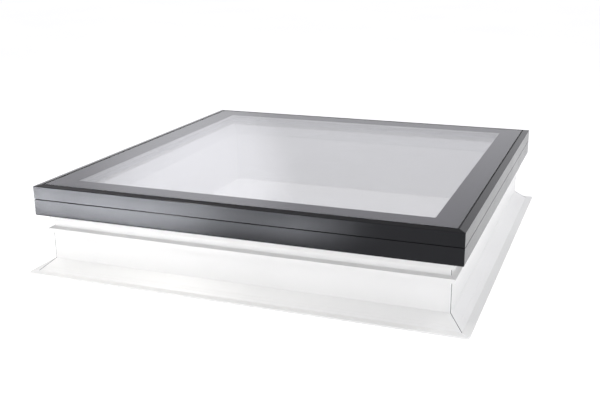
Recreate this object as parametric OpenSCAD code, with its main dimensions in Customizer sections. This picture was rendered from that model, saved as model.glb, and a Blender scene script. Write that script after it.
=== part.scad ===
// Flat-roof skylight: a fixed double-glazed unit in a two-part aluminium frame, on a splayed
// kerb of hollow PVC-U profile. Millimetres, +Z up, origin at the centre of the underside.
//
// Every long piece is a straight profile with mitred ends. A profile is drawn once as a
// section [d, z]: d runs inwards from the frame's outer edge, z runs up from the roof deck.

/* [Overall] */
// Width of the frame, left to right
frame_w = 1000; // [700:10:1500]
// Length of the frame, front to back
frame_l = 1000; // [700:10:1500]
// Height of the kerb above the roof deck
kerb_h = 150; // [120:5:300]

/* [Kerb] */
// How far the kerb's upper lip stands in from the frame's outer edge
lip_inset = 22; // [14:1:32]
// Height of the upper lip
lip_h = 26; // [18:1:40]
// Height of the slope under the upper lip
lip_slope_h = 3; // [2:0.5:6]
// How far the neck stands in from the upper lip
neck_depth = 7; // [3:1:10]
// Height of the neck, between the lip and the drip hook
neck_h = 11; // [8:1:20]
// How far the drip hook reaches out from the neck
hook_reach = 11; // [8:1:16]
// Fall of the drip hook's top, from the neck to its edge
hook_fall = 4; // [2:0.5:6]
// Height of the drip hook's front face
hook_face_h = 9; // [7:1:14]
// Thickness of the drip hook
hook_t = 3; // [2:0.5:4]
// How far the main wall stands out from the neck
wall_step = 2; // [1:0.5:4]
// Width of the hollow wall, from the neck to the light well
kerb_wall_w = 71; // [60:1:100]
// Run of the splay, level
splay_run = 30; // [20:1:50]
// Rise of the splay
splay_rise = 26; // [18:1:50]
// Width of the base flange outside the splay
flange_w = 18; // [12:1:40]
// Thickness of the base flange
flange_t = 4; // [3:0.5:6]
// Corner radius of the base flange
flange_corner_r = 9; // [4:1:12]
// Wall thickness of the kerb profile
kerb_t = 3; // [2:0.25:4]
// Thickness of the webs between the kerb's chambers
web_t = 2; // [1.5:0.25:3]
// Thickness of the foam seal on the kerb
kerb_seal_t = 3; // [2:0.5:6]
// Width of the foam seal on the kerb
kerb_seal_w = 32; // [25:1:36]

/* [Aluminium frame] */
// Wall thickness of the aluminium profiles
alu_t = 2.5; // [2:0.25:3]
// How far the skirt hangs below the kerb's top
skirt_drop = 9; // [3:1:12]
// Corner radius at the foot of the skirt
skirt_r = 3.5; // [2.5:0.25:4]
// Width of the return at the foot of the skirt
skirt_return_w = 9; // [6:1:12]
// Height of the base frame's channel, above the seal
channel_h = 26.5; // [22:0.5:40]
// Width of the base frame, from its face to its inner web
base_frame_w = 62; // [58:1:68]
// Width of the landing that carries the outer gasket
landing_w = 12; // [11:1:16]
// Chamfer along the landing's outer edge
arris = 0.8; // [0.5:0.1:1.5]
// Height of the shadow groove between the two frames
groove_h = 1.5; // [1:0.25:4]
// Depth of the shadow groove, from the face to the gasket
groove_depth = 5; // [4:0.5:5]
// Width of the outer gasket in the groove
gasket_w = 6; // [4:0.5:6]
// Width of the sloped top edge
bevel_w = 15; // [12:1:24]
// Rise of the sloped top edge
bevel_rise = 2.5; // [1:0.5:6]
// Small chamfer at the sloped edge's outer corner
top_arris = 0.8; // [0.4:0.1:1.2]
// Height of the glazing frame's fixing leg
leg_h = 21; // [19:0.5:21.5]
// Gap between the two frames' inner webs
leg_gap = 0.2; // [0.1:0.05:0.4]
// Open hairline at each mitre of the aluminium frames
mitre_gap = 0.2; // [0.1:0.05:0.4]

/* [Glazing] */
// Joint width between the frame and the edge of the glass
glass_joint = 4; // [3:0.5:6]
// Drop from the frame's crest to the top of the glass
glass_drop = 0.5; // [0.25:0.25:1]
// Thickness of the toughened outer pane
outer_pane_t = 6; // [4:0.5:10]
// Height of the sealed cavity
cavity_h = 14; // [12:1:20]
// Thickness of the laminated inner pane
inner_pane_t = 6.4; // [6:0.4:10]
// Depth of the edge sealant, in from the glass edge
sealant_w = 5; // [4:0.5:8]
// Width of the spacer bar
spacer_w = 7; // [6:0.5:9]
// Wall thickness of the spacer bar
spacer_t = 0.8; // [0.5:0.1:1.2]
// Thickness of the bedding tape under the glass
tape_t = 3.1; // [2:0.1:5]
// Depth of the silicone in the joint around the glass
silicone_h = 7; // [5:0.5:8]
// Height of the foam backer under the silicone
backer_h = 5; // [4:0.5:6]
// Length of a setting block
block_l = 50; // [30:5:100]

/* [Inner trim] */
// Thickness of the inner trim
trim_t = 3; // [2:0.25:4]
// How far the trim's top edge stands in from the frame's outer edge
trim_top_d = 84; // [80:1:90]
// Depth of the trim's straight part under the glass
trim_drop = 7.5; // [5:0.5:10]
// Height of the trim's lower bend above the kerb
trim_bend_h = 3; // [2:0.5:6]
// How far the trim laps down over the kerb
trim_lap = 8; // [5:1:15]
// Height of the trim's clip leg
clip_h = 10; // [7:0.5:11]
// Clearance between the trim and the pieces it clips to
trim_gap = 0.2; // [0.1:0.05:0.4]

/* [Corner cleats] */
// Length of a cleat's leg
cleat_leg = 60; // [40:5:90]
// Height of the glazing frame's cleats
cleat_h = 22; // [15:1:22]
// Thickness of the base frame's angle cleats
angle_t = 3; // [2:0.5:4]
// Height of the base frame's angle cleats
angle_h = 15; // [10:1:17]
// Clearance around a cleat
cleat_gap = 0.2; // [0.1:0.05:0.4]

/* [Screws] */
// Radius of a screw's shank
screw_r = 2.4; // [1.75:0.05:3]
// Length of a kerb screw below its head
kerb_screw_l = 25; // [16:1:26]
// Length of a retaining screw below its head
retaining_screw_l = 12; // [8:1:16]
// Radius of a screw's head
head_r = 4.4; // [3.6:0.1:5]
// Height of a screw's head
head_h = 2.8; // [2:0.1:3.4]
// Clearance of a screw in the aluminium
screw_clear = 0.3; // [0.2:0.05:0.5]
// Clearance of a screw in its own cut thread
thread_clear = 0.05; // [0.02:0.01:0.1]
// Distance of the end screws from the frame's corners
screw_end = 120; // [100:5:200]
// Widest spacing of the screws
screw_pitch = 300; // [150:10:400]
// Distance of the kerb screws from the frame's outer edge
kerb_screw_d = 42; // [38:1:46]
// Height of the retaining screws above the foot of the glazing frame's leg
retaining_screw_edge = 4; // [3.5:0.5:6]

/* [Hidden] */
$fn = 48;
SIDES = ["front", "right", "back", "left"];

// Colours
pvc_white = [0.93, 0.93, 0.94];
coated_black = [0.10, 0.10, 0.11];
mill_grey = [0.72, 0.73, 0.74];
steel = [0.62, 0.62, 0.64];
rubber_black = [0.06, 0.06, 0.06];
foam_grey = [0.62, 0.63, 0.66];
glass_tint = [0.72, 0.80, 0.84, 0.35];

// Kerb: places across the section
neck_d = lip_inset + neck_depth;
wall_d = neck_d - wall_step;
hook_d = neck_d - hook_reach;
well_d = neck_d + kerb_wall_w;
foot_d = wall_d - splay_run;
flange_d = foot_d - flange_w;
// Kerb: levels
splay_z = flange_t + splay_rise;
lip_z = kerb_h - lip_h;
neck_z = lip_z - lip_slope_h;
hook_z = neck_z - neck_h;
hook_edge_z = hook_z - hook_fall;
hook_foot_z = hook_edge_z - hook_face_h;

// Base frame: levels
skirt_z = kerb_h - skirt_drop;
floor_z = kerb_h + kerb_seal_t;
landing_z = floor_z + channel_h;
web_d = base_frame_w - alu_t;

// Glazing frame: levels, worked out from the glass that it holds
sill_z = landing_z + groove_h;
shelf_z = sill_z + alu_t;
glass_z = shelf_z + tape_t;
cavity_z = glass_z + inner_pane_t;
outer_pane_z = cavity_z + cavity_h;
glass_top_z = outer_pane_z + outer_pane_t;
crest_z = glass_top_z + glass_drop;
edge_z = crest_z - bevel_rise;
glass_d = bevel_w + glass_joint;
leg_d = web_d - leg_gap - alu_t;
shelf_d = base_frame_w;

// Inner trim
trim_lap_d = well_d + trim_gap + trim_t;
clip_d = base_frame_w + trim_gap;
bend_z = kerb_h + trim_bend_h;

spare = 1; // how far a cutting shape runs past what it cuts

// ---- Helpers ----

// Unit vector at the right hand of someone who walks from a to b
function right_of(a, b) = let (v = b - a) [v.y, -v.x] / norm(v);

// A corner p moved t to the right of both lines that meet in it
function shifted(before, p, after, t) =
    let (m = right_of(before, p), n = right_of(p, after)) p + t * (m + n) / (1 + m * n);

// A closed clockwise outline drawn in by t
function drawn_in(pts, t) =
    let (n = len(pts))
    [for (i = [0 : n - 1]) shifted(pts[(i + n - 1) % n], pts[i], pts[(i + 1) % n], t)];

// The closed outline of a strip t thick, to the right of an open line
function strip(pts, t) =
    let (n = len(pts), last = n - 1)
    concat(
        pts,
        [pts[last] + t * right_of(pts[last - 1], pts[last])],
        [for (i = [last - 1 : -1 : 1]) shifted(pts[i - 1], pts[i], pts[i + 1], t)],
        [pts[0] + t * right_of(pts[0], pts[1])]
    );

// Even places along a side, no further apart than screw_pitch
function spots(run) =
    let (span = run - 2 * screw_end, gaps = max(1, ceil(span / screw_pitch)))
    [for (i = [0 : gaps]) -span / 2 + i * span / gaps];

// Length of a side, and the frame's size across it
function run_of(i) = i % 2 == 0 ? frame_w : frame_l;
function depth_of(i) = i % 2 == 0 ? frame_l : frame_w;

// Puts [along, d, z] children on side i: 0 front, 1 right, 2 back, 3 left
module on_side(i) {
    rotate([0, 0, 90 * i]) translate([0, -depth_of(i) / 2, 0]) children();
}

// A section [d, z] run along one side, with both ends mitred
module mitred(i, from_d, to_d, top_z, gap = 0) {
    half = run_of(i) / 2 - gap / 2 * sqrt(2);
    on_side(i)
        intersection() {
            rotate([90, 0, 90]) linear_extrude(run_of(i) - 2 * from_d + 2 * spare, center = true) children();
            translate([0, 0, -spare])
                linear_extrude(top_z + 2 * spare)
                    polygon([
                        [-(half - from_d) - spare, from_d - spare], [half - from_d + spare, from_d - spare],
                        [half - to_d - spare, to_d + spare], [-(half - to_d) + spare, to_d + spare]
                    ]);
        }
}

// A flat rectangular ring between two distances from the frame's outer edge
module ring(from_d, to_d, z, h) {
    translate([0, 0, z])
        linear_extrude(h)
            difference() {
                square([frame_w - 2 * from_d, frame_l - 2 * from_d], center = true);
                square([frame_w - 2 * to_d, frame_l - 2 * to_d], center = true);
            }
}

// A sheet that stops at one distance from the frame's outer edge
module sheet(from_d, z, h) {
    translate([0, 0, z])
        linear_extrude(h) square([frame_w - 2 * from_d, frame_l - 2 * from_d], center = true);
}

// A bent flat at each corner, in from both faces by from_d, with legs as long as leg
module corner_pieces(from_d, thick, leg, z, h) {
    for (sx = [-1, 1], sy = [-1, 1])
        scale([sx, sy, 1])
            translate([-frame_w / 2 + from_d, -frame_l / 2 + from_d, z])
                linear_extrude(h)
                    union() {
                        square([leg, thick]);
                        square([thick, leg]);
                    }
}

// Holes for the screws that go down into the kerb
module kerb_screw_holes(i, r, from_z, h) {
    on_side(i)
        for (x = spots(run_of(i)))
            translate([x, kerb_screw_d, from_z]) cylinder(r = r, h = h);
}

// Holes for the screws that go outwards through both inner webs
module retaining_screw_holes(i, r, from_d, h) {
    on_side(i)
        for (x = spots(run_of(i)))
            translate([x, from_d, sill_z - leg_h + retaining_screw_edge])
                rotate([-90, 0, 0]) cylinder(r = r, h = h);
}

// A pan-head screw, head up, with the underside of its head at the origin
module screw(l) {
    translate([0, 0, -l]) cylinder(r = screw_r, h = l);
    cylinder(r = head_r, h = head_h);
}

// ---- Kerb ----

// The drip hook's underside runs hook_t below its sloped top
hook_slope = hook_fall / hook_reach;
hook_under = hook_t * norm([hook_reach, hook_fall]) / hook_reach;

function hook_under_z(d) = hook_edge_z + (d - hook_d) * hook_slope - hook_under;

kerb_outline = [
    [well_d, 0], [flange_d, 0], [flange_d, flange_t], [foot_d, flange_t], [wall_d, splay_z],
    [wall_d, hook_under_z(wall_d)], [hook_d + hook_t, hook_under_z(hook_d + hook_t)],
    [hook_d + hook_t, hook_foot_z], [hook_d, hook_foot_z], [hook_d, hook_edge_z],
    [neck_d, hook_z], [neck_d, neck_z], [lip_inset, lip_z], [lip_inset, kerb_h], [well_d, kerb_h]
];
// The same outline without its flange and hook, which stay solid
kerb_core = [
    [well_d, 0], [foot_d - flange_t * splay_run / splay_rise, 0], [wall_d, splay_z],
    [wall_d, hook_edge_z], [neck_d, hook_z], [neck_d, neck_z], [lip_inset, lip_z],
    [lip_inset, kerb_h], [well_d, kerb_h]
];

// The solid webs that part the kerb's chambers, and the thicker base
module kerb_webs() {
    translate([flange_d, 0]) square([well_d - flange_d, flange_t]);
    for (z = [splay_z, hook_z, lip_z])
        translate([0, z - web_t / 2]) square([well_d, web_t]);
    translate([(neck_d + well_d) / 2 - web_t / 2, 0]) square([web_t, kerb_h]);
}

module kerb_section() {
    difference() {
        polygon(kerb_outline);
        difference() {
            polygon(drawn_in(kerb_core, kerb_t));
            kerb_webs();
        }
    }
}

// The plan of the base flange, with its rounded corners
module flange_plan() {
    w = frame_w - 2 * flange_d;
    l = frame_l - 2 * flange_d;
    r = flange_corner_r;
    square([w, l - 2 * r], center = true);
    square([w - 2 * r, l], center = true);
    for (x = [-1, 1], y = [-1, 1])
        translate([x * (w / 2 - r), y * (l / 2 - r)]) circle(r);
}

module kerb(i) {
    color(pvc_white)
        difference() {
            intersection() {
                mitred(i, flange_d, well_d, kerb_h) kerb_section();
                translate([0, 0, -spare]) linear_extrude(kerb_h + 2 * spare) flange_plan();
            }
            kerb_screw_holes(i, screw_r + thread_clear, kerb_h - kerb_t - spare, kerb_t + 2 * spare);
        }
}

module kerb_seal() {
    color(rubber_black)
        difference() {
            ring(lip_inset + kerb_t, lip_inset + kerb_t + kerb_seal_w, kerb_h, kerb_seal_t);
            for (i = [0 : 3])
                kerb_screw_holes(i, screw_r + thread_clear, kerb_h - spare, kerb_seal_t + 2 * spare);
        }
}

// ---- Base frame ----

module base_frame_section() {
    difference() {
        union() {
            translate([0, skirt_z]) square([alu_t, landing_z - skirt_z]);
            translate([0, skirt_z]) square([skirt_return_w, alu_t]);
            translate([0, landing_z - alu_t]) square([landing_w, alu_t]);
            translate([0, floor_z]) square([base_frame_w, alu_t]);
            translate([web_d, floor_z]) square([alu_t, channel_h]);
        }
        translate([0, skirt_z])
            difference() {
                translate([-spare, -spare]) square(skirt_r + spare);
                translate([skirt_r, skirt_r]) circle(skirt_r);
            }
        polygon([
            [-spare, landing_z - arris - spare], [arris + spare, landing_z + spare],
            [-spare, landing_z + spare]
        ]);
    }
}

module base_frame(i) {
    color(coated_black)
        difference() {
            mitred(i, 0, base_frame_w, landing_z, mitre_gap) base_frame_section();
            kerb_screw_holes(i, screw_r + screw_clear, floor_z - spare, alu_t + 2 * spare);
            retaining_screw_holes(i, screw_r + screw_clear, web_d - spare, alu_t + 2 * spare);
        }
}

module base_frame_cleats() {
    color(mill_grey) corner_pieces(alu_t + cleat_gap, angle_t, cleat_leg, floor_z + alu_t, angle_h);
}

module kerb_screws() {
    color(steel)
        for (i = [0 : 3])
            on_side(i)
                for (x = spots(run_of(i)))
                    translate([x, kerb_screw_d, floor_z + alu_t]) screw(kerb_screw_l);
}

module frame_gaskets() {
    color(rubber_black) {
        ring(groove_depth, groove_depth + gasket_w, landing_z, groove_h);
        ring(web_d, base_frame_w, landing_z, groove_h);
    }
}

// ---- Glazing frame ----

glazing_outline = [
    [0, sill_z], [0, edge_z - top_arris], [top_arris, edge_z + top_arris * bevel_rise / bevel_w],
    [bevel_w, crest_z], [bevel_w, shelf_z], [shelf_d, shelf_z], [shelf_d, sill_z],
    [leg_d + alu_t, sill_z], [leg_d + alu_t, sill_z - leg_h], [leg_d, sill_z - leg_h], [leg_d, sill_z]
];
// The slanted top is alu_t thick, so its underside lies a little further down
bevel_under = alu_t * norm([bevel_w, bevel_rise]) / bevel_w;
glazing_chamber = [
    [alu_t, shelf_z], [alu_t, edge_z + alu_t * bevel_rise / bevel_w - bevel_under],
    [bevel_w - alu_t, crest_z - alu_t * bevel_rise / bevel_w - bevel_under], [bevel_w - alu_t, shelf_z]
];

module glazing_frame_section() {
    difference() {
        polygon(glazing_outline);
        polygon(glazing_chamber);
    }
}

module glazing_frame(i) {
    color(coated_black)
        difference() {
            mitred(i, 0, shelf_d, crest_z, mitre_gap) glazing_frame_section();
            retaining_screw_holes(i, screw_r + thread_clear, leg_d - spare, alu_t + 2 * spare);
        }
}

module glazing_frame_cleats() {
    color(mill_grey)
        corner_pieces(alu_t + cleat_gap, bevel_w - 2 * (alu_t + cleat_gap), cleat_leg, shelf_z, cleat_h);
}

module retaining_screws() {
    color(steel)
        for (i = [0 : 3])
            on_side(i)
                for (x = spots(run_of(i)))
                    translate([x, base_frame_w, sill_z - leg_h + retaining_screw_edge])
                        rotate([-90, 0, 0]) screw(retaining_screw_l);
}

// ---- Glass ----

module bedding_tape() {
    color(foam_grey) ring(glass_d + sealant_w, shelf_d, shelf_z, tape_t);
}

module setting_blocks() {
    block_h = glass_top_z - silicone_h - backer_h - shelf_z - trim_gap;
    block_w = glass_joint - 2 * cleat_gap;
    color(rubber_black)
        for (i = [0 : 3], s = [-1, 1])
            on_side(i)
                translate([s * run_of(i) / 4 - block_l / 2, bevel_w + cleat_gap, shelf_z])
                    cube([block_l, block_w, block_h]);
}

module inner_pane() {
    color(glass_tint) sheet(glass_d, glass_z, inner_pane_t);
}

module spacer_bar() {
    outer_d = glass_d + sealant_w;
    color(mill_grey)
        difference() {
            ring(outer_d, outer_d + spacer_w, cavity_z, cavity_h);
            ring(outer_d + spacer_t, outer_d + spacer_w - spacer_t, cavity_z + spacer_t, cavity_h - 2 * spacer_t);
        }
}

module edge_sealant() {
    color(rubber_black) ring(glass_d, glass_d + sealant_w, cavity_z, cavity_h);
}

module outer_pane() {
    color(glass_tint) sheet(glass_d, outer_pane_z, outer_pane_t);
}

module backer_rod() {
    color(foam_grey) ring(bevel_w, glass_d, glass_top_z - silicone_h - backer_h, backer_h);
}

module perimeter_silicone() {
    color(rubber_black) ring(bevel_w, glass_d, glass_top_z - silicone_h, silicone_h);
}

module trim_gasket() {
    color(foam_grey) ring(clip_d + trim_t, trim_top_d - trim_t / 2, shelf_z, tape_t);
}

// ---- Inner trim ----

module inner_trim(i) {
    face = [
        [clip_d, shelf_z - clip_h], [clip_d, shelf_z], [trim_top_d, shelf_z],
        [trim_top_d, shelf_z - trim_drop], [trim_lap_d, bend_z], [trim_lap_d, kerb_h - trim_lap]
    ];
    color(pvc_white) mitred(i, clip_d, trim_lap_d, shelf_z) polygon(strip(face, trim_t));
}

// ---- Nodes ----

kerb(0);  // kerb_front
kerb(1);  // kerb_right
kerb(2);  // kerb_back
kerb(3);  // kerb_left
kerb_seal();
base_frame(0);  // base_frame_front
base_frame(1);  // base_frame_right
base_frame(2);  // base_frame_back
base_frame(3);  // base_frame_left
base_frame_cleats();
kerb_screws();
frame_gaskets();
glazing_frame(0);  // glazing_frame_front
glazing_frame(1);  // glazing_frame_right
glazing_frame(2);  // glazing_frame_back
glazing_frame(3);  // glazing_frame_left
glazing_frame_cleats();
retaining_screws();
bedding_tape();
setting_blocks();
inner_pane();
spacer_bar();
edge_sealant();
outer_pane();
backer_rod();
perimeter_silicone();
trim_gasket();
inner_trim(0);  // inner_trim_front
inner_trim(1);  // inner_trim_right
inner_trim(2);  // inner_trim_back
inner_trim(3);  // inner_trim_left
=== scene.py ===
"""The looks of a flat-roof skylight: a fixed double-glazed unit in a black aluminium frame on a white splayed kerb.

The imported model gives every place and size. This script gives the parts their rounded edges, weld seams,
printed glass border, tooled sealant and finishes, and sets them up in a plain studio.
"""

import logging
import math
from dataclasses import dataclass
from enum import Enum

import bmesh
import bpy
from mathutils import Matrix, Vector


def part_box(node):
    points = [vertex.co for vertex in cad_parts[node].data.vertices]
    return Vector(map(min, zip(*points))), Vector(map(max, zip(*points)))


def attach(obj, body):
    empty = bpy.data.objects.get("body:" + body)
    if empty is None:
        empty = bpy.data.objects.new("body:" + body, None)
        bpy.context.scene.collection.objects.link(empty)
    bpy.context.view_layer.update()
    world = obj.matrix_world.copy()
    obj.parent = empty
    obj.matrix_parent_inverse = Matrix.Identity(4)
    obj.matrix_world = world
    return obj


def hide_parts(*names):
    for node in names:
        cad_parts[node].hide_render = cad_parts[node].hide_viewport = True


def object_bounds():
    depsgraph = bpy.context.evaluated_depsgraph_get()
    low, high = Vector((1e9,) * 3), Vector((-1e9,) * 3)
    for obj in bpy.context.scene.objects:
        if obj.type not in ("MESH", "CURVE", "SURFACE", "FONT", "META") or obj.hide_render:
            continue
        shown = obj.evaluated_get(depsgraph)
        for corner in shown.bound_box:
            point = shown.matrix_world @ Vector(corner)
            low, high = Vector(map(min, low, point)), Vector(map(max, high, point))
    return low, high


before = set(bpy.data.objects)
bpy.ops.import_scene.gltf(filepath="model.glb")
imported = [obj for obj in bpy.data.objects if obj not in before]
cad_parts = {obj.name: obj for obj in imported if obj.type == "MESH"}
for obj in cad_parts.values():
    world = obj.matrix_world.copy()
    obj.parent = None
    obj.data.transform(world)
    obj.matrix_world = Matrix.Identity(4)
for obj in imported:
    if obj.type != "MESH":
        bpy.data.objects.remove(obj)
CAD_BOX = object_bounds()

LOG = logging.getLogger("skylight")
BODY = "root"
MM = 0.001

JOIN_GAP = 0.002 * MM  # corners closer than this are one
FLAT_ANGLE = math.radians(0.4)  # faces flatter than this to each other are one
SHARP_ANGLE = math.radians(20)  # edges sharper than this are rounded
ROUND_FACETS = 2
FLAT_HOLD = 100  # how strongly large faces keep their own direction beside a rounding
ON_LINE = 0.01 * MM  # how near a point is to a cut to lie on it
ON_FACE = 0.1 * MM  # how near a point is to a face to belong to it
FACES_UP = 0.9  # a face whose normal climbs more than this faces up


class Side(Enum):
    """The four sides of the skylight, each with the direction that faces outwards."""

    FRONT = (0, -1)
    RIGHT = (1, 0)
    BACK = (0, 1)
    LEFT = (-1, 0)

    @property
    def outward(self) -> Vector:
        """The level direction that points out of the skylight on this side."""
        return Vector((self.value[0], self.value[1], 0))

    @property
    def run(self) -> "Run":
        """The axis that this side's profiles run along."""
        return Run.ALONG_X if self.value[0] == 0 else Run.ALONG_Y

    def node(self, stem: str) -> str:
        """The name of this side's piece of a four-sided frame."""
        return f"{stem}_{self.name.lower()}"


class Run(Enum):
    """The axis that a profile was extruded along. The drawn lines of its die follow it."""

    ALONG_X = "x"
    ALONG_Y = "y"

    def stretched(self, across: float, along: float) -> tuple[float, float, float]:
        """Pattern scales for a pattern drawn out along the profile.

        Args:
            across: size of the pattern across the profile, in metres.
            along: size of the pattern along the profile, in metres.

        Returns:
            The scale of each axis for a Mapping node.
        """
        a, b = 1 / along, 1 / across
        return (a, b, b) if self is Run.ALONG_X else (b, a, b)


# ---- Colours and nodes ----


def even(size: float) -> tuple[float, float, float]:
    """Pattern scales for a pattern of one size, in metres, on every axis."""
    return (1 / size,) * 3


def linear(hex_colour: str) -> tuple[float, float, float, float]:
    """Turns an sRGB hex colour into the linear values that shaders work in.

    Args:
        hex_colour: six hex digits, with or without a leading #.

    Returns:
        Linear red, green, blue and an alpha of 1.
    """
    digits = hex_colour.lstrip("#")
    parts = [int(digits[i : i + 2], 16) / 255 for i in (0, 2, 4)]
    r, g, b = (p / 12.92 if p <= 0.04045 else ((p + 0.055) / 1.055) ** 2.4 for p in parts)
    return (r, g, b, 1.0)


def add_node(
    tree: bpy.types.NodeTree, kind: str, inputs: dict | None = None, **settings: object
) -> bpy.types.Node:
    """Adds a node with its settings, its socket values and its links.

    Args:
        tree: the node tree that takes the node.
        kind: the node's type name.
        inputs: socket name or number to a value, or to the output socket that feeds it.
        **settings: properties of the node itself.

    Returns:
        The new node.
    """
    node = tree.nodes.new(kind)
    for key, value in settings.items():
        setattr(node, key, value)
    for key, value in (inputs or {}).items():
        if isinstance(value, bpy.types.NodeSocket):
            tree.links.new(value, node.inputs[key])
        else:
            node.inputs[key].default_value = value
    return node


# ---- Finishes ----


@dataclass(frozen=True)
class Finish:
    """What a surface is made of. A finish makes its material once, and pieces share it."""

    name: str

    def material(self) -> bpy.types.Material:
        """Gives the material of this finish, made on its first use.

        Returns:
            The finished node material.
        """
        made = bpy.data.materials.get(self.name)
        if made is not None:
            return made
        made = bpy.data.materials.new(self.name)
        made.use_nodes = True
        tree = made.node_tree
        tree.nodes.clear()
        shader = self.shader(tree)
        add_node(tree, "ShaderNodeOutputMaterial", {"Surface": shader})
        return made

    def shader(self, tree: bpy.types.NodeTree) -> bpy.types.NodeSocket:
        """Builds the shader of this finish.

        Args:
            tree: the material's node tree.

        Returns:
            The output socket of the last shader.
        """
        raise NotImplementedError

    def pattern(
        self,
        tree: bpy.types.NodeTree,
        scale: tuple[float, float, float],
        detail: float,
        low: float = 0.35,
        high: float = 0.65,
    ) -> bpy.types.NodeSocket:
        """Noise fixed to the piece, spread to run from 0 to 1.

        Args:
            tree: the material's node tree.
            scale: pattern repeats per metre on each axis.
            detail: how many finer layers the noise has.
            low: the noise level that becomes 0.
            high: the noise level that becomes 1.

        Returns:
            A socket that runs from 0 to 1.
        """
        place = add_node(tree, "ShaderNodeTexCoord").outputs["Object"]
        spread = add_node(tree, "ShaderNodeMapping", {"Vector": place, "Scale": scale})
        grain = {"Vector": spread.outputs[0], "Scale": 1.0, "Detail": detail, "Roughness": 0.5}
        noise = add_node(tree, "ShaderNodeTexNoise", grain).outputs[0]
        levels = {"Value": noise, "From Min": low, "From Max": high, "To Min": 0.0, "To Max": 1.0}
        return add_node(tree, "ShaderNodeMapRange", levels).outputs[0]

    def blended(
        self, tree: bpy.types.NodeTree, share: bpy.types.NodeSocket, first: str, second: str
    ) -> bpy.types.NodeSocket:
        """A colour that runs from one hex colour to another.

        Args:
            tree: the material's node tree.
            share: runs from 0, all of the first colour, to 1, all of the second.
            first: a hex colour.
            second: a hex colour.

        Returns:
            The colour socket.
        """
        # The Mix node's colour sockets share their names with its number sockets, so they go by place.
        factor, colour_a, colour_b, result = 0, 6, 7, 2
        mix = {factor: share, colour_a: linear(first), colour_b: linear(second)}
        return add_node(tree, "ShaderNodeMix", mix, data_type="RGBA").outputs[result]

    def between(
        self, tree: bpy.types.NodeTree, share: bpy.types.NodeSocket, first: float, second: float
    ) -> bpy.types.NodeSocket:
        """A number that runs from first to second as share goes from 0 to 1."""
        ends = {"Value": share, "To Min": first, "To Max": second}
        return add_node(tree, "ShaderNodeMapRange", ends).outputs[0]

    def bump(
        self,
        tree: bpy.types.NodeTree,
        height: bpy.types.NodeSocket,
        depth: float,
        under: bpy.types.NodeSocket | None = None,
    ) -> bpy.types.NodeSocket:
        """Surface relief of a real depth.

        Args:
            tree: the material's node tree.
            height: relief from 0 to 1.
            depth: the full depth of the relief in metres.
            under: a normal that this relief lies on.

        Returns:
            The normal socket.
        """
        sockets = {"Height": height, "Strength": 1.0, "Distance": depth}
        if under is not None:
            sockets["Normal"] = under
        return add_node(tree, "ShaderNodeBump", sockets).outputs[0]


@dataclass(frozen=True)
class ExtrudedPvc(Finish):
    """Rigid white PVC-U, extruded: a smooth satin white with faint drawn lines along the profile."""

    run: Run = Run.ALONG_X
    colour: str = "#ECECEB"
    handled: str = "#E9E9E8"
    line_pitch: float = 1.6 * MM  # die lines, drawn a little coarser than real so that they show
    line_length: float = 900 * MM
    line_depth: float = 0.002 * MM
    mottle: float = 260 * MM  # slow change of shade from batch and handling
    grain: float = 2.5 * MM  # the faint dimpling of a cooled skin
    grain_depth: float = 0.001 * MM
    smooth: float = 0.30
    rough: float = 0.40
    ior: float = 1.53

    def shader(self, tree: bpy.types.NodeTree) -> bpy.types.NodeSocket:
        """Builds the satin plastic with its die lines.

        Args:
            tree: the material's node tree.

        Returns:
            The output socket of the last shader.
        """
        lines = self.pattern(tree, self.run.stretched(self.line_pitch, self.line_length), detail=3.0)
        marks = self.pattern(tree, even(self.mottle), detail=4.0)
        grain = self.pattern(tree, even(self.grain), detail=2.0)
        drawn = self.bump(tree, lines, self.line_depth)
        sockets = {
            "Base Color": self.blended(tree, marks, self.colour, self.handled),
            "Roughness": self.between(tree, lines, self.smooth, self.rough),
            "IOR": self.ior,
            "Normal": self.bump(tree, grain, self.grain_depth, drawn),
        }
        return add_node(tree, "ShaderNodeBsdfPrincipled", sockets).outputs[0]


@dataclass(frozen=True)
class PowderCoat(Finish):
    """Black polyester powder coat, baked: satin, with the fine orange peel that the melt leaves."""

    colour: str = "#0A0A0C"
    dusted: str = "#0E0E10"
    sheen: str = "#F6F8FF"
    dust: float = 120 * MM  # patches where dust dulls the coat
    peel: float = 3.0 * MM  # spacing of the orange peel's waves
    peel_depth: float = 0.004 * MM
    speck: float = 0.9 * MM  # grains of powder, drawn coarser than real so that they show
    speck_depth: float = 0.0008 * MM
    smooth: float = 0.16
    rough: float = 0.20
    ior: float = 1.5
    gloss: float = 0.24  # lower than a plain coat's 0.5

    def shader(self, tree: bpy.types.NodeTree) -> bpy.types.NodeSocket:
        """Builds the satin coat with its orange peel.

        Args:
            tree: the material's node tree.

        Returns:
            The output socket of the last shader.
        """
        peel = self.pattern(tree, even(self.peel), detail=1.0)
        dust = self.pattern(tree, even(self.dust), detail=5.0)
        speck = self.pattern(tree, even(self.speck), detail=1.0, low=0.3, high=0.7)
        waves = self.bump(tree, peel, self.peel_depth)
        sockets = {
            "Base Color": self.blended(tree, dust, self.colour, self.dusted),
            "Roughness": self.between(tree, dust, self.smooth, self.rough),
            "IOR": self.ior,
            "Specular IOR Level": self.gloss,
            "Specular Tint": linear(self.sheen),
            "Normal": self.bump(tree, speck, self.speck_depth, waves),
        }
        return add_node(tree, "ShaderNodeBsdfPrincipled", sockets).outputs[0]


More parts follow.
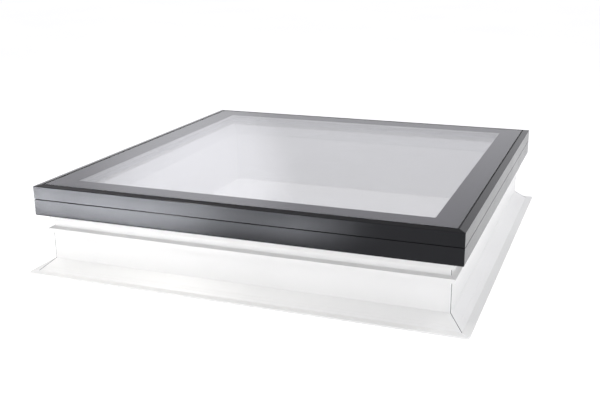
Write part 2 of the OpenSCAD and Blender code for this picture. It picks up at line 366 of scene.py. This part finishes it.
@dataclass(frozen=True)
class ClearGlass(Finish):
    """Polished float glass: clear, with the furnace rollers' long waves and a thin film of dust."""

    colour: str = "#F0F0F2"
    sheen: str = "#F1EFFF"  # what it mirrors has a faint blue cast
    lit_through: str = "#E8E8EA"  # how much of a lamp's light each face lets by
    wave: float = 280 * MM  # roller wave
    wave_depth: float = 0.02 * MM
    film: float = 45 * MM  # patches of dust
    film_rough: float = 0.015
    ior: float = 1.52

    def shader(self, tree: bpy.types.NodeTree) -> bpy.types.NodeSocket:
        """Builds the glass, which lets lamps through to what is behind it.

        Args:
            tree: the material's node tree.

        Returns:
            The output socket of the last shader.
        """
        waves = self.pattern(tree, (1 / self.wave, 1 / self.wave, 1.0), detail=0.0)
        film = self.pattern(tree, even(self.film), detail=4.0, low=0.45, high=0.75)
        sockets = {
            "Base Color": linear(self.colour),
            "Specular Tint": linear(self.sheen),
            "Transmission Weight": 1.0,
            "Roughness": self.between(tree, film, 0.0, self.film_rough),
            "IOR": self.ior,
            "Normal": self.bump(tree, waves, self.wave_depth),
        }
        glass = add_node(tree, "ShaderNodeBsdfPrincipled", sockets).outputs[0]
        path = add_node(tree, "ShaderNodeLightPath")
        lamps = {0: path.outputs["Is Shadow Ray"], 1: path.outputs["Is Diffuse Ray"]}
        for_lamps = add_node(tree, "ShaderNodeMath", lamps, operation="MAXIMUM").outputs[0]
        tint = {"Color": linear(self.lit_through)}
        clear = add_node(tree, "ShaderNodeBsdfTransparent", tint).outputs[0]
        return add_node(tree, "ShaderNodeMixShader", {0: for_lamps, 1: glass, 2: clear}).outputs[0]


@dataclass(frozen=True)
class CeramicFrit(Finish):
    """Black ceramic enamel, screen printed and fused to the glass: dense and a little uneven.

    It has almost no gloss of its own, because it is seen through the glass that it is fused to.
    """

    colour: str = "#17161D"
    thin: str = "#201E28"
    body: float = 35 * MM  # patches where the enamel lies thinner
    mesh: float = 1.2 * MM  # marks of the printing screen, drawn coarser than real
    mesh_depth: float = 0.001 * MM
    smooth: float = 0.5
    rough: float = 0.62
    gloss: float = 0.05

    def shader(self, tree: bpy.types.NodeTree) -> bpy.types.NodeSocket:
        """Builds the enamel with the marks of its screen.

        Args:
            tree: the material's node tree.

        Returns:
            The output socket of the last shader.
        """
        body = self.pattern(tree, even(self.body), detail=4.0)
        marks = self.pattern(tree, even(self.mesh), detail=1.0)
        sockets = {
            "Base Color": self.blended(tree, body, self.colour, self.thin),
            "Roughness": self.between(tree, marks, self.smooth, self.rough),
            "Specular IOR Level": self.gloss,
            "Normal": self.bump(tree, marks, self.mesh_depth),
        }
        return add_node(tree, "ShaderNodeBsdfPrincipled", sockets).outputs[0]


@dataclass(frozen=True)
class Compound(Finish):
    """A matt rubber, foam, sealant or moulded plastic: one colour, a little worn, with its own grain."""

    colour: str = "#101011"
    worn: str = "#1A1A1B"
    grain: float = 1.2 * MM
    grain_depth: float = 0.02 * MM
    mottle: float = 30 * MM
    smooth: float = 0.5
    rough: float = 0.7
    ior: float = 1.5
    gloss: float = 0.5

    def shader(self, tree: bpy.types.NodeTree) -> bpy.types.NodeSocket:
        """Builds the matt body with its grain.

        Args:
            tree: the material's node tree.

        Returns:
            The output socket of the last shader.
        """
        cells = self.pattern(tree, even(self.grain), detail=2.0)
        cloud = self.pattern(tree, even(self.mottle), detail=4.0)
        sockets = {
            "Base Color": self.blended(tree, cloud, self.colour, self.worn),
            "Roughness": self.between(tree, cells, self.smooth, self.rough),
            "IOR": self.ior,
            "Specular IOR Level": self.gloss,
            "Normal": self.bump(tree, cells, self.grain_depth),
        }
        return add_node(tree, "ShaderNodeBsdfPrincipled", sockets).outputs[0]


@dataclass(frozen=True)
class BareMetal(Finish):
    """Bare metal, cut, drawn or rolled: fine tool lines and a little tarnish."""

    colour: str = "#C9CBCD"
    tarnish: str = "#A9ABAE"
    line: float = 0.6 * MM
    line_length: float = 25 * MM
    line_depth: float = 0.004 * MM
    mottle: float = 18 * MM
    smooth: float = 0.28
    rough: float = 0.42

    def shader(self, tree: bpy.types.NodeTree) -> bpy.types.NodeSocket:
        """Builds the metal with its tool lines.

        Args:
            tree: the material's node tree.

        Returns:
            The output socket of the last shader.
        """
        drawn = (1 / self.line_length, 1 / self.line_length, 1 / self.line)
        lines = self.pattern(tree, drawn, detail=2.0)
        cloud = self.pattern(tree, even(self.mottle), detail=4.0)
        sockets = {
            "Base Color": self.blended(tree, cloud, self.colour, self.tarnish),
            "Metallic": 1.0,
            "Roughness": self.between(tree, lines, self.smooth, self.rough),
            "Normal": self.bump(tree, lines, self.line_depth),
        }
        return add_node(tree, "ShaderNodeBsdfPrincipled", sockets).outputs[0]


@dataclass(frozen=True)
class PaleFloor(Finish):
    """The studio's pale matt floor sheet, faintly uneven."""

    colour: str = "#F8F8F8"
    shade: str = "#F4F4F4"
    patches: float = 1.2  # uneven patches to a metre
    rough: float = 0.95
    gloss: float = 0.1
    glow: float = 0.33  # the sheet is lit softly from below
    glow_colour: str = "#FFFFFF"

    def shader(self, tree: bpy.types.NodeTree) -> bpy.types.NodeSocket:
        """Builds the matt floor.

        Args:
            tree: the material's node tree.

        Returns:
            The output socket of the last shader.
        """
        cloud = self.pattern(tree, (self.patches,) * 3, detail=3.0)
        sockets = {
            "Base Color": self.blended(tree, cloud, self.colour, self.shade),
            "Roughness": self.rough,
            "Specular IOR Level": self.gloss,
            "Emission Color": linear(self.glow_colour),
            "Emission Strength": self.glow,
        }
        return add_node(tree, "ShaderNodeBsdfPrincipled", sockets).outputs[0]


# The kerb and the trims: a smooth satin white, its lines drawn along each length.
KERB_WHITE = {run: ExtrudedPvc(f"white_pvcu_extruded_{run.value}", run=run) for run in Run}

# A cleaned weld bead with the marks of the tool; its extra whiteness over the skin round it is a painted highlight
# on the corner's edge.
WELD_WHITE_PAINTED_HIGHLIGHT = ExtrudedPvc(
    "white_pvcu_weld_painted_highlight",
    line_pitch=2.2 * MM,
    line_depth=0.05 * MM,
    colour="#FBFBFB",
    handled="#F0F0F1",
    mottle=5 * MM,
)

# The line where the two melted ends met: grey and matt, partly its own residue and partly painted shade of the gap
# between the ends.
JOINT_GREY_AND_PAINTED_SHADE = Compound(
    "pvcu_weld_line_and_painted_shade",
    colour="#4E4F52",
    worn="#707174",
    grain=2.5 * MM,
    grain_depth=0.05 * MM,
    smooth=0.5,
    rough=0.6,
    ior=1.53,
)

# Both frames: a deep satin black.
COAT_BLACK = PowderCoat("black_polyester_powder_coat")

# The outer pane is clear. The inner one is a little darker, and its waves are longer.
OUTER_GLASS = ClearGlass("toughened_float_glass")
INNER_GLASS = ClearGlass("laminated_float_glass", colour="#EAEAE5", wave=420 * MM)

# The printed border: near black, seen through the glass.
FRIT_BLACK = CeramicFrit("black_ceramic_frit")

# Gaskets: matt black with a fine grain.
RUBBER = Compound("epdm_rubber_extruded", grain=0.9 * MM)

# Silicone smoothed by the tooling stick: deep black, with a soft low sheen.
SILICONE = Compound(
    "black_silicone_tooled",
    colour="#0B0B0C",
    worn="#131314",
    grain=6 * MM,
    grain_depth=0.05 * MM,
    smooth=0.5,
    rough=0.65,
    ior=1.41,
    gloss=0.3,
)

# The sealant round the unit's edge: black, a little worn.
SEALANT = Compound("black_silicone_edge_seal", colour="#161617", worn="#202021", grain=2 * MM)

# Closed-cell foam: black, dry and matt, with its cells as the grain.
FOAM = Compound(
    "black_polyethylene_foam",
    colour="#1B1B1C",
    worn="#29292A",
    grain=1.5 * MM,
    grain_depth=0.2 * MM,
    smooth=0.8,
    rough=0.95,
)

# Glazing tape: a pale even grey, dry and matt.
TAPE_GREY = Compound(
    "grey_foam_glazing_tape",
    colour="#C8CACD",
    worn="#CDCFD1",
    grain=1.0 * MM,
    grain_depth=0.02 * MM,
    smooth=0.8,
    rough=0.9,
    gloss=0.3,
)

# Moulded nylon: an even dark grey with a dull shine.
BLOCK_BLACK = Compound(
    "moulded_nylon",
    colour="#232426",
    worn="#2E2F31",
    grain=0.8 * MM,
    smooth=0.4,
    rough=0.55,
    ior=1.53,
)

# Aluminium as it comes from the mill: grey, with fine tool lines.
MILL_ALUMINIUM = BareMetal("mill_finish_aluminium")

# Rolled strip: paler and more matt than the other aluminium.
SPACER_ALUMINIUM = BareMetal(
    "bright_spacer_aluminium",
    colour="#DADCE0",
    tarnish="#D7D9DD",
    line=1.0 * MM,
    line_depth=0.0008 * MM,
    smooth=0.55,
    rough=0.58,
)

# Painted shade: a grey line with little shine that stands for the shadow in the trims' fold line.
PAINTED_SHADE_GREY = Compound(
    "grey_trim_painted_shade",
    colour="#7A7B7E",
    worn="#858689",
    grain=2 * MM,
    smooth=0.6,
    rough=0.75,
    gloss=0.3,
)

# Screws: a shade darker than the aluminium.
STAINLESS = BareMetal("stainless_steel", colour="#C2C3C5", tarnish="#A8AAAD")


# ---- Making and dressing pieces ----


def dress(piece: bpy.types.Object, finish: Finish) -> None:
    """Gives every face of a piece one finish."""
    piece.data.materials.clear()
    piece.data.materials.append(finish.material())


def dress_node(node: str, finish: Finish) -> None:
    """Gives a CAD node a finish on its own material slots.

    Args:
        node: the CAD node's name.
        finish: what it is made of.
    """
    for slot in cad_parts[node].material_slots:
        slot.material = finish.material()
    LOG.info("dressed %s in %s", node, finish.name)


def merged_shape(node: str) -> bmesh.types.BMesh:
    """A copy of a CAD node as one joined shape, with its flat faces whole.

    Args:
        node: the CAD node's name.

    Returns:
        The joined shape.
    """
    shape = bmesh.new()
    shape.from_mesh(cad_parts[node].data)
    bmesh.ops.remove_doubles(shape, verts=shape.verts[:], dist=JOIN_GAP)
    bmesh.ops.dissolve_limit(
        shape,
        angle_limit=FLAT_ANGLE,
        use_dissolve_boundaries=False,
        verts=shape.verts[:],
        edges=shape.edges[:],
    )
    return shape


def enrol(piece: bpy.types.Object, finish: Finish) -> None:
    """Makes an object a piece of the skylight: it is dressed, and it rides on the body.

    Args:
        piece: the object.
        finish: what it is made of.
    """
    bpy.context.scene.collection.objects.link(piece)
    dress(piece, finish)
    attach(piece, BODY)
    LOG.info("made %s in %s", piece.name, finish.name)


def as_piece(shape: bmesh.types.BMesh, name: str, finish: Finish) -> bpy.types.Object:
    """Turns a shape into a piece of the skylight.

    Args:
        shape: the finished shape, used up by this.
        name: the piece's name.
        finish: what it is made of.

    Returns:
        The new piece, riding on the skylight.
    """
    mesh = bpy.data.meshes.new(name)
    shape.to_mesh(mesh)
    shape.free()
    if "custom_normal" in mesh.attributes:
        mesh.attributes.remove(mesh.attributes["custom_normal"])
    mesh.shade_smooth()
    piece = bpy.data.objects.new(name, mesh)
    enrol(piece, finish)
    return piece


def stand_in(
    shape: bmesh.types.BMesh, node: str, name: str, finish: Finish
) -> bpy.types.Object:
    """Turns a shape into a piece that stands for a CAD node.

    Args:
        shape: the finished shape, used up by this.
        node: the CAD node that it stands for.
        name: the piece's name.
        finish: what it is made of.

    Returns:
        The new piece.
    """
    piece = as_piece(shape, name, finish)
    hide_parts(node)
    return piece


def round_edges(piece: bpy.types.Object, radius: float) -> None:
    """Rounds a piece's sharp edges and keeps its flat faces flat.

    Args:
        piece: the piece to finish.
        radius: the width of the rounding in metres.
    """
    rounding = piece.modifiers.new("rounded_edges", "BEVEL")
    rounding.width, rounding.segments = radius, ROUND_FACETS
    rounding.limit_method, rounding.angle_limit = "ANGLE", SHARP_ANGLE
    rounding.miter_outer = "MITER_SHARP"
    rounding.use_clamp_overlap = True
    flats = piece.modifiers.new("flat_faces", "WEIGHTED_NORMAL")
    flats.weight = FLAT_HOLD


def press_line(
    shape: bmesh.types.BMesh, side: Side, face: float, height: float, width: float, push: Vector
) -> None:
    """Presses a shallow V line along a face of a profile.

    Args:
        shape: the length of profile.
        side: which side of the skylight it is on.
        face: how far out the face is at the line, along the side's outward direction.
        height: the height of the line.
        width: the width of the line.
        push: how far and which way the bottom of the V is moved.
    """
    for level in (height - width / 2, height, height + width / 2):
        everything = shape.verts[:] + shape.edges[:] + shape.faces[:]
        bmesh.ops.bisect_plane(
            shape, geom=everything, plane_co=(0, 0, level), plane_no=(0, 0, 1)
        )
    level_with = [v for v in shape.verts if abs(v.co.z - height) < ON_LINE]
    sunk = [v for v in level_with if abs(v.co.dot(side.outward) - face) < ON_FACE]
    bmesh.ops.translate(shape, vec=push, verts=sunk)


def square_ring(half: Vector, width: float, low: float, high: float) -> bmesh.types.BMesh:
    """A flat square ring with mitred corners, made from one sheet.

    Args:
        half: half of its outer size on X and Y.
        width: the width of the ring.
        low: the height of its underside.
        high: the height of its top.

    Returns:
        The closed ring, centred on the origin.
    """
    shape = bmesh.new()
    bmesh.ops.create_grid(shape, x_segments=1, y_segments=1, size=1.0)
    bmesh.ops.scale(shape, vec=(half.x, half.y, 1), verts=shape.verts[:])
    bmesh.ops.inset_region(
        shape, faces=shape.faces[:], thickness=width, use_even_offset=True, use_boundary=True
    )
    inside = half.x - width / 2
    middle = [f for f in shape.faces if max(abs(v.co.x) for v in f.verts) < inside]
    bmesh.ops.delete(shape, geom=middle, context="FACES")
    bmesh.ops.translate(shape, vec=(0, 0, low), verts=shape.verts[:])
    raised = bmesh.ops.extrude_face_region(shape, geom=shape.faces[:])
    top = [g for g in raised["geom"] if isinstance(g, bmesh.types.BMVert)]
    bmesh.ops.translate(shape, vec=(0, 0, high - low), verts=top)
    bmesh.ops.recalc_face_normals(shape, faces=shape.faces[:])
    return shape


# ---- Sub-assemblies ----


@dataclass(frozen=True)
class SeamLine:
    """A thin round line down a welded mitre, partly sunk into the kerb."""

    kind: str
    finish: Finish
    radius: float
    shift: float  # how far it lies from the mitre, on the front's or back's face
    from_tip: bool  # whether it starts at the flange's tip or at the foot of the splay
    sunk_share: float = 0.5  # how much of its radius lies below the kerb's surface

    @property
    def sink(self) -> float:
        """How deep the line's middle lies below the kerb's surface."""
        return self.radius * self.sunk_share


@dataclass
class Kerb:
    """The splayed kerb: four lengths of hollow PVC-U profile, welded at the corners."""

    edge_round: float = 0.5 * MM
    flange_t: float = 4 * MM
    splay_run: float = 30 * MM
    splay_rise: float = 26 * MM
    flange_w: float = 18 * MM
    flange_corner: float = 4 * MM
    wall_high: float = 94 * MM
    neck_inset: float = 50 * MM
    neck_low: float = 110 * MM
    neck_high: float = 121 * MM
    seams: tuple[SeamLine, ...] = (
        # The joint line's grey is partly painted shade; the weld bead's extra white is a painted highlight.
        SeamLine("joint", JOINT_GREY_AND_PAINTED_SHADE, radius=0.65 * MM, shift=0.0, from_tip=False),
        SeamLine("weld", WELD_WHITE_PAINTED_HIGHLIGHT, radius=1.0 * MM, shift=2.1 * MM, from_tip=True),
    )
    score_heights: tuple[float, ...] = (9.5 * MM, 13.5 * MM)
    score_w: float = 1.0 * MM
    score_depth: float = 0.35 * MM

    def build(self) -> None:
        """Makes the four lengths and their four weld seams, and dresses the seal on top."""
        for side in Side:
            self.length(side)
        for x_way in (-1, 1):
            for y_way in (-1, 1):
                self.weld(x_way, y_way)
        dress_node("kerb_seal", FOAM)

    def length(self, side: Side) -> bpy.types.Object:
        """Makes one length of the kerb with its score lines and rounded edges.

        Args:
            side: which side of the skylight it is on.

        Returns:
            The finished length.
        """
        node = side.node("kerb")
        shape = merged_shape(node)
        for height in self.score_heights:
            self.score(shape, side, height)
        finish = KERB_WHITE[side.run]
        piece = stand_in(shape, node, f"{node}_welded", finish)
        round_edges(piece, self.edge_round)
        return piece

    def score(self, shape: bmesh.types.BMesh, side: Side, height: float) -> None:
        """Cuts a shallow V line along the splay, as the die leaves to guide screws.

        Args:
            shape: the kerb length.
            side: which side it is on.
            height: the height of the line.
        """
        low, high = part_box(side.node("kerb"))
        tip = max(low.dot(side.outward), high.dot(side.outward))
        climbed = (height - self.flange_t) * self.splay_run / self.splay_rise
        face = tip - self.flange_w - climbed
        inward = (-side.outward * self.splay_rise - Vector((0, 0, self.splay_run))).normalized()
        press_line(shape, side, face, height, self.score_w, inward * self.score_depth)

    def weld(self, x_way: int, y_way: int) -> None:
        """Makes the weld at one corner: the dark line of the joint, partly painted shade, and the bead beside it,
        whiter as a painted highlight.

        Args:
            x_way: -1 for the left of the skylight, 1 for the right.
            y_way: -1 for the front, 1 for the back.
        """
        corner = f"{'back' if y_way > 0 else 'front'}_{'right' if x_way > 0 else 'left'}"
        for seam in self.seams:
            wall = self.flange_w + self.splay_run + seam.sink
            neck = self.neck_inset + seam.sink
            low = [
                (self.flange_corner, self.flange_t - seam.sink),
                (self.flange_w, self.flange_t - seam.sink),
                (wall, self.flange_t + self.splay_rise),
                (wall, self.wall_high),
            ]
            turns = {
                "low": low if seam.from_tip else low[1:],
                "neck": [(neck, self.neck_low), (neck, self.neck_high)],
            }
            for part, outline in turns.items():
                self.line_down(f"kerb_{seam.kind}_{part}_{corner}", seam, outline, x_way, y_way)

    def line_down(
        self,
        name: str,
        seam: SeamLine,
        outline: list[tuple[float, float]],
        x_way: int,
        y_way: int,
    ) -> bpy.types.Object:
        """Makes a thin round line that follows the outside of the kerb down a mitre.

        Args:
            name: the piece's name.
            seam: what kind of line it is.
            outline: its turns, each how far in from the flange's tip and how high.
            x_way: -1 for the left of the skylight, 1 for the right.
            y_way: -1 for the front, 1 for the back.

        Returns:
            The finished line.
        """
        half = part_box("kerb_right")[1].x
        path = bpy.data.curves.new(name, "CURVE")
        path.dimensions, path.bevel_depth, path.bevel_resolution = "3D", seam.radius, 1
        path.use_fill_caps = True
        line = path.splines.new("POLY")
        line.points.add(len(outline) - 1)
        for point, (inset, height) in zip(line.points, outline):
            out = half - inset
            point.co = (x_way * (out - seam.shift), y_way * out, height, 1)
        bead = bpy.data.objects.new(name, path)
        enrol(bead, seam.finish)
        return bead


@dataclass
class CoatedFrame:
    """A square frame of four mitred lengths of powder-coated aluminium, on corner cleats."""

    stem: str
    edge_round: float = 0.35 * MM

    def lengths(self) -> None:
        """Makes the four coated lengths and dresses the cleats inside their mitres."""
        for side in Side:
            node = side.node(self.stem)
            shape = merged_shape(node)
            piece = stand_in(shape, node, f"{node}_coated", COAT_BLACK)
            round_edges(piece, self.edge_round)
        dress_node(f"{self.stem}_cleats", MILL_ALUMINIUM)


@dataclass
class BaseFrame(CoatedFrame):
    """The lower frame: a channel that skirts the kerb and is screwed down to it."""

    stem: str = "base_frame"

    def build(self) -> None:
        """Makes the frame and dresses its screws and gaskets."""
        self.lengths()
        dress_node("kerb_screws", STAINLESS)
        dress_node("frame_gaskets", RUBBER)


@dataclass
class GlazingFrame(CoatedFrame):
    """The upper frame: a hollow with a sloped top edge that holds the glass unit."""

    stem: str = "glazing_frame"

    def build(self) -> None:
        """Makes the frame and dresses its retaining screws."""
        self.lengths()
        dress_node("retaining_screws", STAINLESS)


@dataclass
class GlassUnit:
    """The sealed double-glazed unit with its printed border, on tape, with a sealed joint round it."""

    border_w: float = 56 * MM
    border_margin: float = 0.05 * MM
    print_t: float = 0.1 * MM
    print_below: float = 0.02 * MM
    dish: float = 0.5 * MM
    joint_rim: float = 0.8 * MM
    tape_press: float = 0.05 * MM

    def build(self) -> None:
        """Makes the printed border and the tooled joint, and dresses the panes and what holds them."""
        dress_node("outer_pane", OUTER_GLASS)
        dress_node("inner_pane", INNER_GLASS)
        self.border()
        self.joint()
        self.tape()
        dress_node("spacer_bar", SPACER_ALUMINIUM)
        dress_node("edge_sealant", SEALANT)
        dress_node("backer_rod", TAPE_GREY)
        dress_node("setting_blocks", BLOCK_BLACK)

    def border(self) -> bpy.types.Object:
        """Makes the enamel border, fused into the underside of the outer pane.

        Returns:
            The finished border.
        """
        low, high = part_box("outer_pane")
        half = (high - low) / 2 - Vector((self.border_margin, self.border_margin, 0))
        foot = low.z - self.print_below
        shape = square_ring(half, self.border_w, foot, low.z + self.print_t)
        return as_piece(shape, "printed_border", FRIT_BLACK)

    def joint(self) -> bpy.types.Object:
        """Makes the silicone joint round the glass, dished by the tooling stick.

        Returns:
            The finished joint.
        """
        node = "perimeter_silicone"
        shape = merged_shape(node)
        near_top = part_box(node)[1].z - ON_FACE
        facing_up = [f for f in shape.faces if f.normal.z > FACES_UP]
        top = [f for f in facing_up if f.calc_center_median().z > near_top]
        bmesh.ops.inset_region(
            shape, faces=top, thickness=self.joint_rim, depth=-self.dish, use_even_offset=True
        )
        return stand_in(shape, node, "tooled_joint", SILICONE)

    def tape(self) -> bpy.types.Object:
        """Makes the bedding tape, pressed into full contact with the glass above it.

        Returns:
            The finished tape.
        """
        node = "bedding_tape"
        shape = merged_shape(node)
        near_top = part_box(node)[1].z - ON_FACE
        top = [v for v in shape.verts if v.co.z > near_top]
        bmesh.ops.translate(shape, vec=(0, 0, self.tape_press), verts=top)
        return stand_in(shape, node, "pressed_tape", TAPE_GREY)


@dataclass
class InnerLining:
    """The white trims that close the joint between the glass and the light well."""

    edge_round: float = 0.4 * MM
    line_rise: float = 1.4 * MM
    line_w: float = 2.4 * MM
    line_depth: float = 1.0 * MM
    # The grey line in the fold is painted shade: its width, how far in it reaches, and how proud it stands.
    shade_line_w: float = 1.7 * MM
    shade_line_in: float = 0.6 * MM
    shade_line_proud: float = 0.15 * MM

    def build(self) -> None:
        """Makes the four trims and the line of painted shade round them, and dresses the gasket behind them."""
        for side in Side:
            node = side.node("inner_trim")
            shape = merged_shape(node)
            self.fold_line(shape, side)
            finish = KERB_WHITE[side.run]
            piece = stand_in(shape, node, f"{node}_lined", finish)
            round_edges(piece, self.edge_round)
        self.painted_shade_ring()
        dress_node("trim_gasket", TAPE_GREY)

    def line_height(self) -> float:
        """How high the fold line lies, a little above the top of the kerb."""
        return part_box("kerb_front")[1].z + self.line_rise

    def fold_line(self, shape: bmesh.types.BMesh, side: Side) -> None:
        """Presses the shallow line into the trim, just under its bend.

        Args:
            shape: the length of trim.
            side: which side it is on.
        """
        face = min(v.co.dot(side.outward) for v in shape.verts)
        push = side.outward * self.line_depth
        press_line(shape, side, face, self.line_height(), self.line_w, push)

    def painted_shade_ring(self) -> bpy.types.Object:
        """Makes the fine grey line of painted shade in the fold line, all round, for the shadow line in the trims'
        fold.

        Returns:
            The finished line.
        """
        face = -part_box("inner_trim_front")[1].y
        half = face + self.shade_line_in
        low = self.line_height() - self.shade_line_w / 2
        high = self.line_height() + self.shade_line_w / 2
        thickness = half - face + self.shade_line_proud
        shape = square_ring(Vector((half, half, 0)), thickness, low, high)
        return as_piece(shape, "trim_painted_shade_line", PAINTED_SHADE_GREY)


@dataclass(frozen=True)
class Softbox:
    """A rectangular studio lamp. Its size is in metres, its power in watts, its spread in degrees."""

    name: str
    place: tuple[float, float, float]
    aim: tuple[float, float, float]
    size: tuple[float, float]
    power: float
    spread: float = 180.0
    colour: str = "#FFFFFF"
    mirrored: bool = True  # whether glossy surfaces show it

    def build(self) -> bpy.types.Object:
        """Makes the lamp, turned to its aim.

        Returns:
            The lamp.
        """
        lamp = bpy.data.lights.new(self.name, "AREA")
        lamp.shape = "RECTANGLE"
        lamp.size, lamp.size_y = self.size
        lamp.energy = self.power
        lamp.spread = math.radians(self.spread)
        lamp.color = linear(self.colour)[:3]
        holder = bpy.data.objects.new(self.name, lamp)
        holder.visible_camera = False
        holder.visible_glossy = self.mirrored
        holder.location = self.place
        way = Vector(self.aim) - Vector(self.place)
        holder.rotation_euler = way.to_track_quat("-Z", "Y").to_euler()
        bpy.context.scene.collection.objects.link(holder)
        return holder


@dataclass
class Studio:
    """A plain pale floor under soft light, and the camera."""

    lens: float = 52.2
    sensor_w: float = 36.0
    near: float = 0.05
    far: float = 100.0
    camera_place: tuple[float, float, float] = (0.7704, -2.0853, 0.7497)
    yaw: float = 21.04
    pitch: float = 16.59
    roll: float = -0.43

    floor_half: float = 20.0
    floor_drop: float = 0.2 * MM  # keeps the floor clear of the kerb's underside
    floor_cells: int = 8

    # The sky's strength by height, where 0 is the horizon and 1 is straight up.
    sky_colour: str = "#FBFBFF"
    horizon: float = 0.95
    middle: float = 0.30
    overhead: float = 1.2
    horizon_ends: tuple[float, float] = (0.42, 0.60)
    overhead_starts: tuple[float, float] = (0.78, 0.88)

    # A soft bright patch of sky that the glass mirrors. Its radius is in degrees.
    halo: float = 0.42
    halo_radius: float = 7.5
    halo_way: tuple[float, float, float] = (-0.459, 0.847, 0.267)

    lamps: tuple[Softbox, ...] = (
        Softbox(
            "key_front_left",
            place=(-1.0, -2.3, 0.55),
            aim=(-0.1, -0.5, 0.10),
            size=(1.0, 0.4),
            power=3.4,
            colour="#FFFDF8",
            mirrored=False,
        ),
        Softbox(
            "high_strip_left",
            place=(-0.8, -0.86, 1.25),
            aim=(-0.2, -0.5, 0.15),
            size=(0.9, 0.05),
            power=7.0,
            colour="#FFFDF8",
        ),
        Softbox(
            "fill_right",
            place=(1.5, 0.1, 1.5),
            aim=(0.5, 0.1, 0.05),
            size=(0.9, 0.9),
            power=8.0,
        ),
        # These two light the floor in front, which the front of the frame mirrors.
        Softbox(
            "low_strip_left",
            place=(-0.70, -1.02, 0.50),
            aim=(-0.70, -1.02, 0.0),
            size=(0.80, 0.06),
            power=17.5,
            spread=52.0,
            colour="#FCFDFF",
        ),
        Softbox(
            "low_strip_middle",
            place=(-0.06, -1.03, 0.30),
            aim=(-0.06, -1.03, 0.0),
            size=(0.22, 0.06),
            power=1.5,
            spread=50.0,
            colour="#FCFDFF",
        ),
    )

    def build(self) -> None:
        """Makes the floor, the sky, the lamps and the camera, and sets how light becomes colour."""
        self.floor()
        self.sky()
        for lamp in self.lamps:
            lamp.build()
        self.camera()
        bpy.context.scene.view_settings.view_transform = "Standard"

    def floor(self) -> None:
        """Makes the pale floor that the skylight stands on."""
        shape = bmesh.new()
        bmesh.ops.create_grid(
            shape, x_segments=self.floor_cells, y_segments=self.floor_cells, size=self.floor_half
        )
        mesh = bpy.data.meshes.new("studio_floor")
        shape.to_mesh(mesh)
        shape.free()
        floor = bpy.data.objects.new("studio_floor", mesh)
        bpy.context.scene.collection.objects.link(floor)
        floor.location.z = CAD_BOX[0].z - self.floor_drop
        dress(floor, PaleFloor("pale_studio_floor"))

    def sky(self) -> None:
        """Makes the light all round: white at the horizon, dimmer above, bright overhead."""
        world = bpy.data.worlds.new("studio_light")
        world.use_nodes = True
        tree = world.node_tree
        tree.nodes.clear()
        way = add_node(tree, "ShaderNodeTexCoord").outputs["Generated"]
        height = add_node(tree, "ShaderNodeSeparateXYZ", {0: way}).outputs["Z"]
        low = self.ramp(tree, height, self.horizon_ends, (self.horizon, self.middle))
        high = self.ramp(tree, height, self.overhead_starts, (0.0, self.overhead - self.middle))
        away = {0: way, 1: Vector(self.halo_way).normalized()}
        dot = add_node(tree, "ShaderNodeVectorMath", away, operation="DOT_PRODUCT")
        nearness = dot.outputs["Value"]
        halo_ends = (math.cos(math.radians(self.halo_radius)), 1.0)
        glow = self.ramp(tree, nearness, halo_ends, (0.0, self.halo))
        both = add_node(tree, "ShaderNodeMath", {0: low, 1: high}, operation="ADD").outputs[0]
        strength = add_node(tree, "ShaderNodeMath", {0: both, 1: glow}, operation="ADD").outputs[0]
        shine = {"Color": linear(self.sky_colour), "Strength": strength}
        light = add_node(tree, "ShaderNodeBackground", shine)
        add_node(tree, "ShaderNodeOutputWorld", {"Surface": light.outputs[0]})
        bpy.context.scene.world = world

    def ramp(
        self,
        tree: bpy.types.NodeTree,
        value: bpy.types.NodeSocket,
        start_end: tuple[float, float],
        levels: tuple[float, float],
    ) -> bpy.types.NodeSocket:
        """A level of light that changes smoothly as a value passes through a range.

        Args:
            tree: the world's node tree.
            value: the value.
            start_end: where in the value the change starts and ends.
            levels: the level before the change and the level after it.

        Returns:
            The level's socket.
        """
        sockets = {
            "Value": value,
            "From Min": start_end[0],
            "From Max": start_end[1],
            "To Min": levels[0],
            "To Max": levels[1],
        }
        node = add_node(tree, "ShaderNodeMapRange", sockets, interpolation_type="SMOOTHSTEP")
        return node.outputs[0]

    def camera(self) -> None:
        """Makes the camera at its place, and turns it by its yaw, pitch and roll."""
        eye = bpy.data.cameras.new("camera")
        eye.lens, eye.sensor_width = self.lens, self.sensor_w
        eye.clip_start, eye.clip_end = self.near, self.far
        holder = bpy.data.objects.new("camera", eye)
        about = Matrix.Rotation(math.radians(self.yaw), 4, "Z")
        turn = about @ Matrix.Rotation(math.radians(90 - self.pitch), 4, "X")
        tilt = Matrix.Rotation(math.radians(self.roll), 4, "Z")
        holder.matrix_world = Matrix.Translation(self.camera_place) @ turn @ tilt
        bpy.context.scene.collection.objects.link(holder)
        bpy.context.scene.camera = holder


def main() -> None:
    """Builds the skylight from the kerb up, then the studio."""
    logging.basicConfig(level=logging.INFO, format="%(name)s: %(message)s")
    Kerb().build()
    BaseFrame().build()
    GlazingFrame().build()
    GlassUnit().build()
    InnerLining().build()
    Studio().build()


if __name__ == "__main__":
    main()
